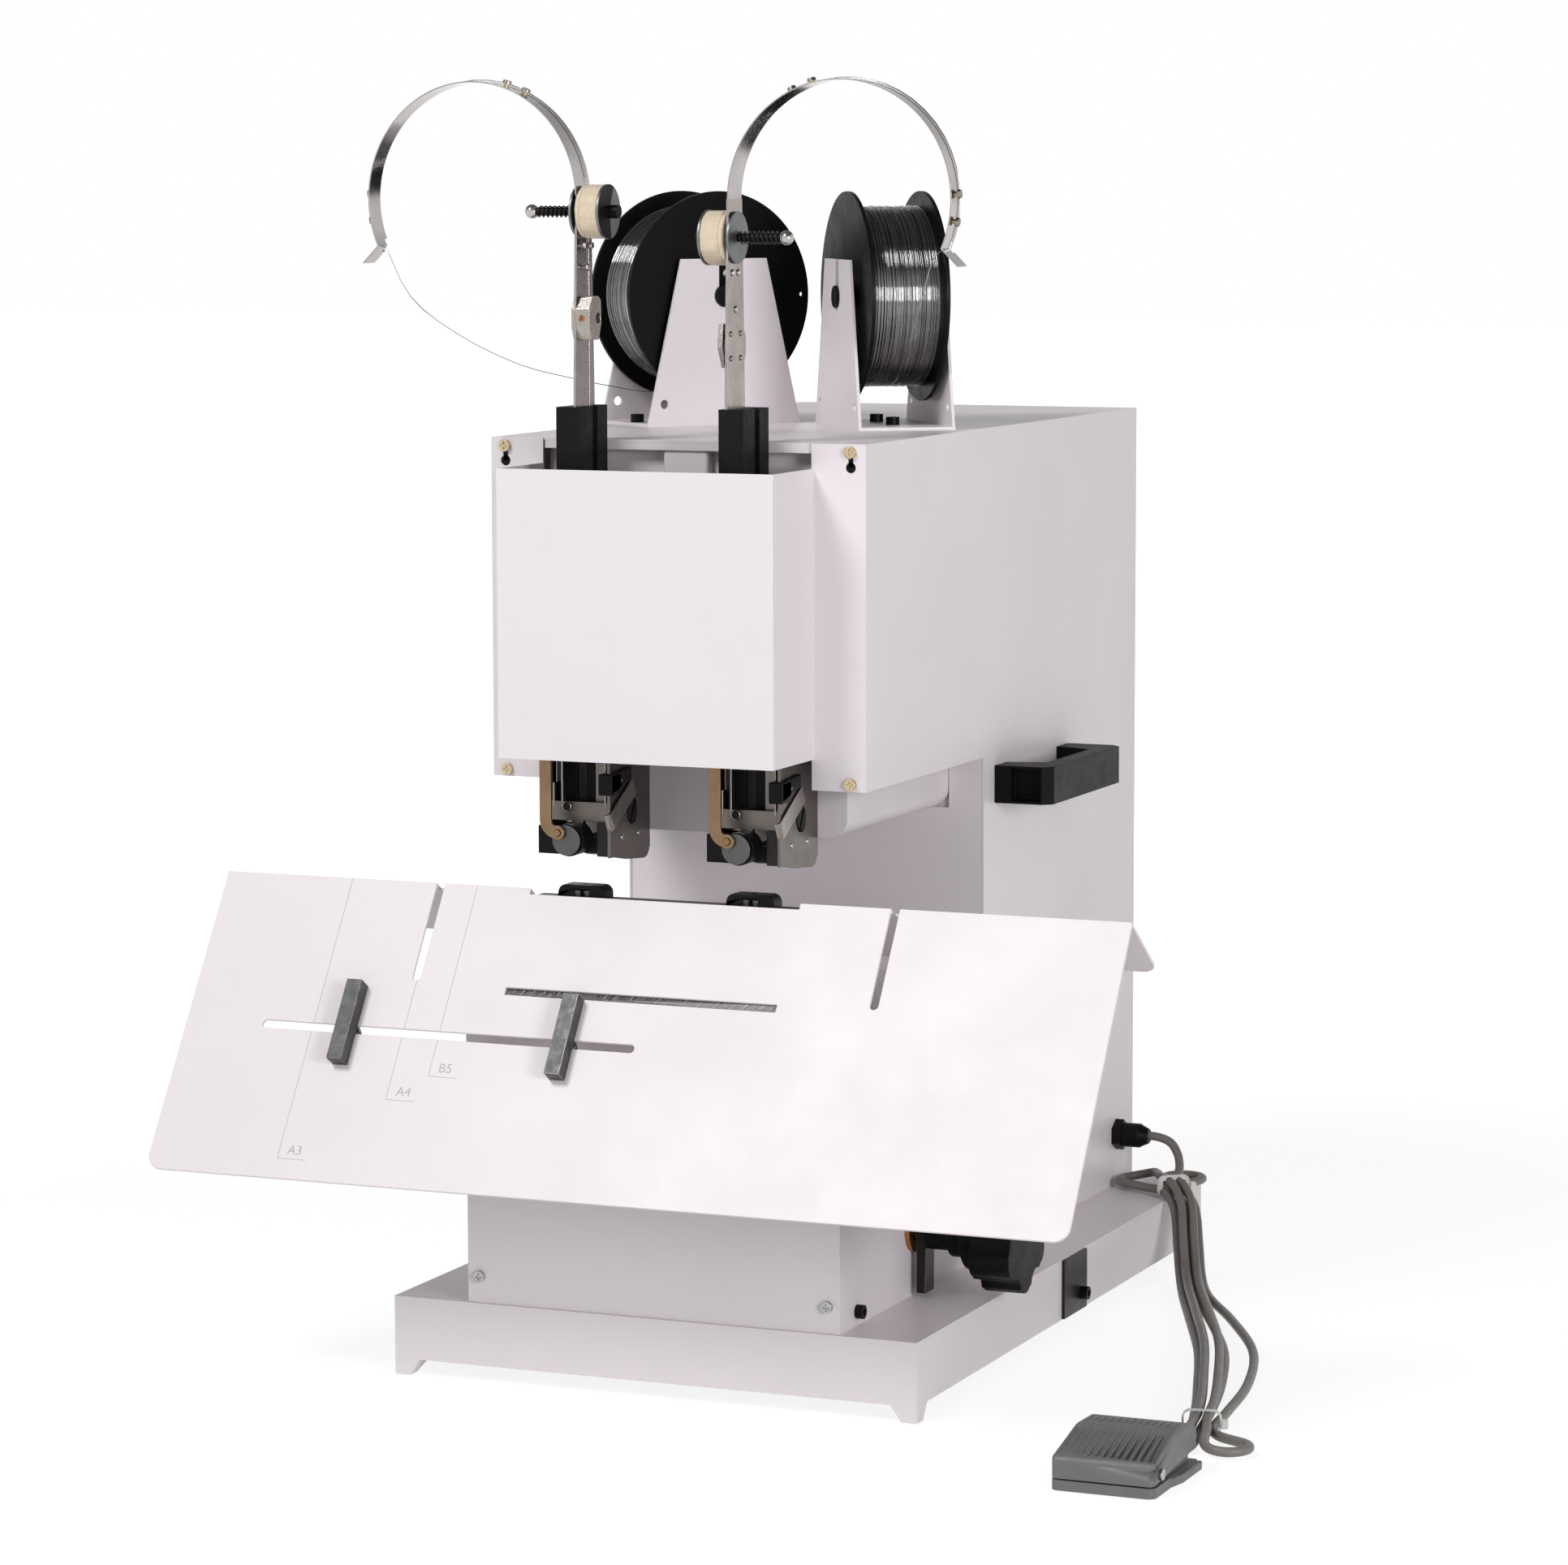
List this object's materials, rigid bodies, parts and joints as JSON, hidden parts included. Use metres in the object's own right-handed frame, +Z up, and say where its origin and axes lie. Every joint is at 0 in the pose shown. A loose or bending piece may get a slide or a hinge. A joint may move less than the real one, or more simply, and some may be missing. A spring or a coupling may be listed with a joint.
{
  "type": "wire stitching machine",
  "caption": "Electric wire stitcher with twin heads, a saddle table for folded booklets, wire spools on top and a corded foot pedal.",
  "frame": {"origin": "on the floor under the middle of the machine's box, without the pedal and its cord", "axes": "+X to the machine's right as the user faces it, +Y to the back, +Z up"},
  "size_m": [0.6774, 0.6518, 0.7909],
  "materials": {
    "white_paint": "warm white powder coat",
    "cast_paint": "light grey enamel on cast iron",
    "steel": "machined steel",
    "nickel": "polished spring steel",
    "dark_steel": "blackened steel",
    "iron": "plain cast iron",
    "brass": "dull brass",
    "bronze": "sintered bronze",
    "black_plastic": "fine textured",
    "grey_plastic": "moulded",
    "felt": "wool felt",
    "cord": "matt sheath",
    "tie": "moulded",
    "wire": "drawn wire"
  },
  "bodies": {
    "machine": {"base_tray": "white_paint", "base_side_plate": "black_plastic", "frame_casting": "cast_paint", "body_cover": "white_paint", "rear_cover": "white_paint", "throat_panel": "white_paint", "lower_cover": "white_paint", "front_guard": "white_paint", "guard_screws": "brass", "cover_screws": "steel", "cap_screws": "dark_steel", "carry_handle_left": "black_plastic", "carry_handle_right": "black_plastic", "saddle_table": "white_paint", "table_brackets": "white_paint", "anvil_guide": "iron", "shaft_bush": "bronze", "head_frame_left": "steel", "head_frame_right": "steel", "head_post_left": "dark_steel", "head_post_right": "dark_steel", "wire_mast_left": "nickel", "wire_mast_right": "nickel", "tension_arc_left": "nickel", "tension_arc_right": "nickel", "straighteners": "nickel", "felt_discs": "felt", "tension_bolts": "steel", "tension_springs": "dark_steel", "stitch_wire_left": "wire", "stitch_wire_right": "wire", "spool_bracket_left": "white_paint", "spool_bracket_right": "white_paint", "spool_axles": "black_plastic", "drive_motor": "iron", "cable_gland": "black_plastic", "cord_ends": "cord", "cord_hank": "cord", "cable_ties": "tie", "pedal_base": "grey_plastic", "pedal_pin": "steel"},
    "cam": {"cam_shaft": "steel"},
    "rocker": {"rocker_beam": "iron"},
    "ram_left": {"head_ram_left": "dark_steel"},
    "ram_right": {"head_ram_right": "dark_steel"},
    "turner_left": {"wire_turner_left": "steel"},
    "turner_right": {"wire_turner_right": "steel"},
    "feed_left": {"feed_bar_left": "brass"},
    "feed_right": {"feed_bar_right": "brass"},
    "adjuster": {"adjuster_shaft": "dark_steel", "adjuster_knob": "black_plastic"},
    "anvil": {"anvil_arm": "iron", "clinchers": "dark_steel"},
    "stop_left": {"stop_bar_left": "dark_steel"},
    "stop_right": {"stop_bar_right": "dark_steel"},
    "reel_left": {"spool_left": "black_plastic", "winding_left": "wire"},
    "reel_right": {"spool_right": "black_plastic", "winding_right": "wire"},
    "treadle": {"pedal_treadle": "grey_plastic"}
  },
  "joints": [
    {"name": "cam_turn", "type": "hinge", "parent": "machine", "child": "cam", "pos_m": [0, 0.13033, 0.3712], "axis": [1, 0, 0], "range_deg": [0, 180]},
    {"name": "rocker_tilt", "type": "hinge", "parent": "machine", "child": "rocker", "pos_m": [0, 0.03033, 0.43], "axis": [1, 0, 0], "range_deg": [0, 7.35]},
    {"name": "ram_left_drive", "type": "slide", "parent": "machine", "child": "ram_left", "axis": [0, 0, -1], "range_m": [0, 0.0251]},
    {"name": "turner_left_turn", "type": "hinge", "parent": "machine", "child": "turner_left", "pos_m": [-0.0555, -0.22187, 0.3366], "axis": [0, -1, 0], "range_deg": [0, 40.1]},
    {"name": "feed_left_pivot", "type": "hinge", "parent": "turner_left", "child": "feed_left", "pos_m": [-0.0601, -0.22187, 0.3414], "axis": [0, -1, 0], "range_deg": [-40.1, 0]},
    {"name": "ram_right_drive", "type": "slide", "parent": "machine", "child": "ram_right", "axis": [0, 0, -1], "range_m": [0, 0.0251]},
    {"name": "turner_right_turn", "type": "hinge", "parent": "machine", "child": "turner_right", "pos_m": [0.0555, -0.22187, 0.3366], "axis": [0, -1, 0], "range_deg": [0, 40.1]},
    {"name": "feed_right_pivot", "type": "hinge", "parent": "turner_right", "child": "feed_right", "pos_m": [0.0509, -0.22187, 0.3414], "axis": [0, -1, 0], "range_deg": [-40.1, 0]},
    {"name": "knob_turn", "type": "hinge", "parent": "machine", "child": "adjuster", "pos_m": [0, -0.10297, 0.092], "axis": [1, 0, 0], "range_deg": [-45.1, 45.1]},
    {"name": "anvil_lift", "type": "slide", "parent": "machine", "child": "anvil", "axis": [0, 0, 1], "range_m": [-0.0025, 0.0025]},
    {"name": "stop_left_slide", "type": "slide", "parent": "machine", "child": "stop_left", "axis": [1, 0, 0], "range_m": [-0.05, 0.06]},
    {"name": "stop_right_slide", "type": "slide", "parent": "machine", "child": "stop_right", "axis": [1, 0, 0], "range_m": [-0.05, 0.034]},
    {"name": "reel_left_turn", "type": "hinge", "parent": "machine", "child": "reel_left", "pos_m": [-0.0719, 0.02, 0.6576], "axis": [0.8059, -0.592, 0], "continuous": true},
    {"name": "reel_right_turn", "type": "hinge", "parent": "machine", "child": "reel_right", "pos_m": [0.0547, 0.02, 0.6576], "axis": [0.8059, 0.592, 0], "continuous": true},
    {"name": "treadle_press", "type": "hinge", "parent": "machine", "child": "treadle", "pos_m": [0.328, -0.328, 0.012], "axis": [-1, 0, 0], "range_deg": [0, 4.5], "stiffness_Nm_per_rad": 1, "springref_deg": -1.72}
  ],
  "couplings": [
    {"joint": "rocker_tilt", "follows": "cam_turn", "ratio": 0.040795},
    {"joint": "ram_left_drive", "follows": "cam_turn", "m_per_rad": 0.0079577},
    {"joint": "turner_left_turn", "follows": "cam_turn", "ratio": 0.22222},
    {"joint": "feed_left_pivot", "follows": "cam_turn", "ratio": -0.22222},
    {"joint": "ram_right_drive", "follows": "cam_turn", "m_per_rad": 0.0079577},
    {"joint": "turner_right_turn", "follows": "cam_turn", "ratio": 0.22222},
    {"joint": "feed_right_pivot", "follows": "cam_turn", "ratio": -0.22222},
    {"joint": "knob_turn", "follows": "anvil_lift", "rad_per_m": 313.78}
  ]
}
